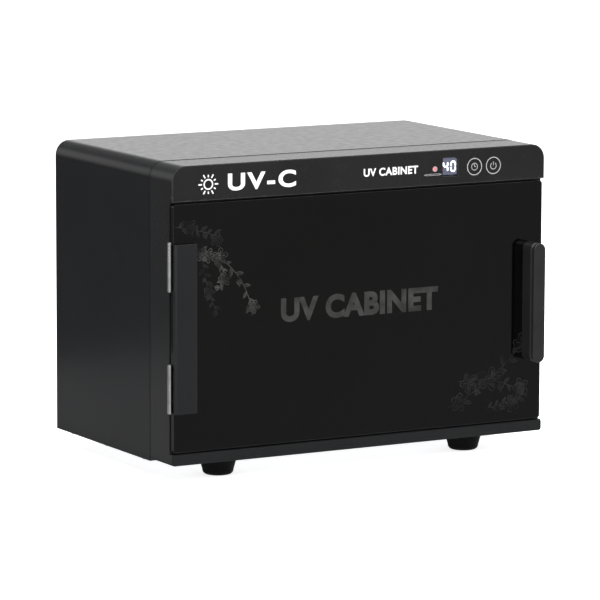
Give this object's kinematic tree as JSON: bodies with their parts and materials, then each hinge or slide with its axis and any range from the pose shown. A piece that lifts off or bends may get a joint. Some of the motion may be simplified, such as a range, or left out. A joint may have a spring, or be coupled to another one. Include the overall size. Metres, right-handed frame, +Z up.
{
  "type": "uv sterilizer cabinet",
  "caption": "Table-top UV sterilizer cabinet with a hinged dark glass door, pull handle, panel keys, wire rack, UV tube and rubber feet.",
  "frame": {"origin": "middle of the bounding box, on the plane that the feet stand on", "axes": "+X to the right as seen from the front, +Y from the door to the back, +Z up"},
  "size_m": [0.3732, 0.2416, 0.2725],
  "materials": {
    "black_steel": "satin powder coat",
    "black_abs": "fine matte moulding",
    "gloss_panel": "smooth gloss",
    "handle_plastic": "semi-gloss moulding",
    "window_lens": "smoked lens",
    "display": "dark display face",
    "led_red": "red tinted lens",
    "circuit_board": "solder resist",
    "switch_plastic": "moulded",
    "zinc_steel": "zinc plated",
    "stainless": "brushed",
    "rack_wire": "chrome plated",
    "reflector": "polished",
    "lamp_glass": "clear quartz glass",
    "lamp_metal": "satin",
    "brass_pin": "plain",
    "white_plastic": "moulded",
    "wire_sheath": "insulation",
    "dark_glass": "dark toughened glass",
    "hinge_metal": "nickel plated",
    "foot_rubber": "moulded rubber",
    "gasket_rubber": "soft foam rubber",
    "ballast_case": "white lacquer"
  },
  "bodies": {
    "cabinet": {"outer_cover": "black_steel", "base_pan": "zinc_steel", "rear_panel": "black_steel", "front_bezel": "black_abs", "control_fascia": "gloss_panel", "display_window": "window_lens", "display_module": "display", "indicator_led": "led_red", "time_switch": "switch_plastic", "power_switch": "switch_plastic", "control_board": "circuit_board", "board_screws": "zinc_steel", "ballast": "ballast_case", "ballast_screws": "zinc_steel", "power_inlet": "switch_plastic", "inlet_screws": "zinc_steel", "wiring_harness": "wire_sheath", "inner_liner": "stainless", "liner_screws": "zinc_steel", "left_rail": "stainless", "right_rail": "stainless", "rail_rivets": "zinc_steel", "lamp_reflector": "reflector", "left_lampholder": "white_plastic", "right_lampholder": "white_plastic", "upper_frame_leaf": "hinge_metal", "lower_frame_leaf": "hinge_metal", "upper_hinge_pin": "hinge_metal", "lower_hinge_pin": "hinge_metal", "hinge_screws": "zinc_steel", "door_gasket": "gasket_rubber", "magnet_catch": "switch_plastic", "interlock_switch": "switch_plastic", "left_front_foot": "foot_rubber", "right_front_foot": "foot_rubber", "left_rear_foot": "foot_rubber", "right_rear_foot": "foot_rubber", "foot_screws": "zinc_steel", "foot_nuts": "zinc_steel", "cover_screws": "zinc_steel", "rear_screws": "zinc_steel"},
    "door": {"door_glass": "dark_glass", "hinge_strip": "black_abs", "strip_screws": "zinc_steel", "upper_door_leaf": "hinge_metal", "lower_door_leaf": "hinge_metal", "handle_base": "handle_plastic", "handle_cap": "handle_plastic", "handle_screws": "zinc_steel", "strike_plate": "zinc_steel"},
    "time_key": {"time_key": "gloss_panel"},
    "power_key": {"power_key": "gloss_panel"},
    "plunger": {"interlock_plunger": "white_plastic"},
    "rack": {"wire_rack": "rack_wire"},
    "lamp": {"uv_tube": "lamp_glass", "left_lamp_cap": "lamp_metal", "right_lamp_cap": "lamp_metal", "lamp_pins": "brass_pin", "left_rotor": "white_plastic", "right_rotor": "white_plastic"}
  },
  "joints": [
    {"name": "door_hinge", "type": "hinge", "parent": "cabinet", "child": "door", "pos_m": [-0.1863, -0.09965, 0.1347], "axis": [0, 0, -1], "range_deg": [0, 170]},
    {"name": "time_key_press", "type": "slide", "parent": "cabinet", "child": "time_key", "axis": [0, 1, 0], "range_m": [0, 0.0006], "stiffness_N_per_m": 600},
    {"name": "power_key_press", "type": "slide", "parent": "cabinet", "child": "power_key", "axis": [0, 1, 0], "range_m": [0, 0.0006], "stiffness_N_per_m": 600},
    {"name": "interlock_slide", "type": "slide", "parent": "cabinet", "child": "plunger", "axis": [0, -1, 0], "range_m": [0, 0.0025]},
    {"name": "rack_slide", "type": "slide", "parent": "cabinet", "child": "rack", "axis": [0, -1, 0], "range_m": [0, 0.02]},
    {"name": "lamp_twist", "type": "hinge", "parent": "cabinet", "child": "lamp", "pos_m": [0, -0.00205, 0.207], "axis": [1, 0, 0], "range_deg": [0, 90]}
  ],
  "couplings": [
    {"joint": "interlock_slide", "follows": "door_hinge", "m_per_rad": 0.000842}
  ]
}
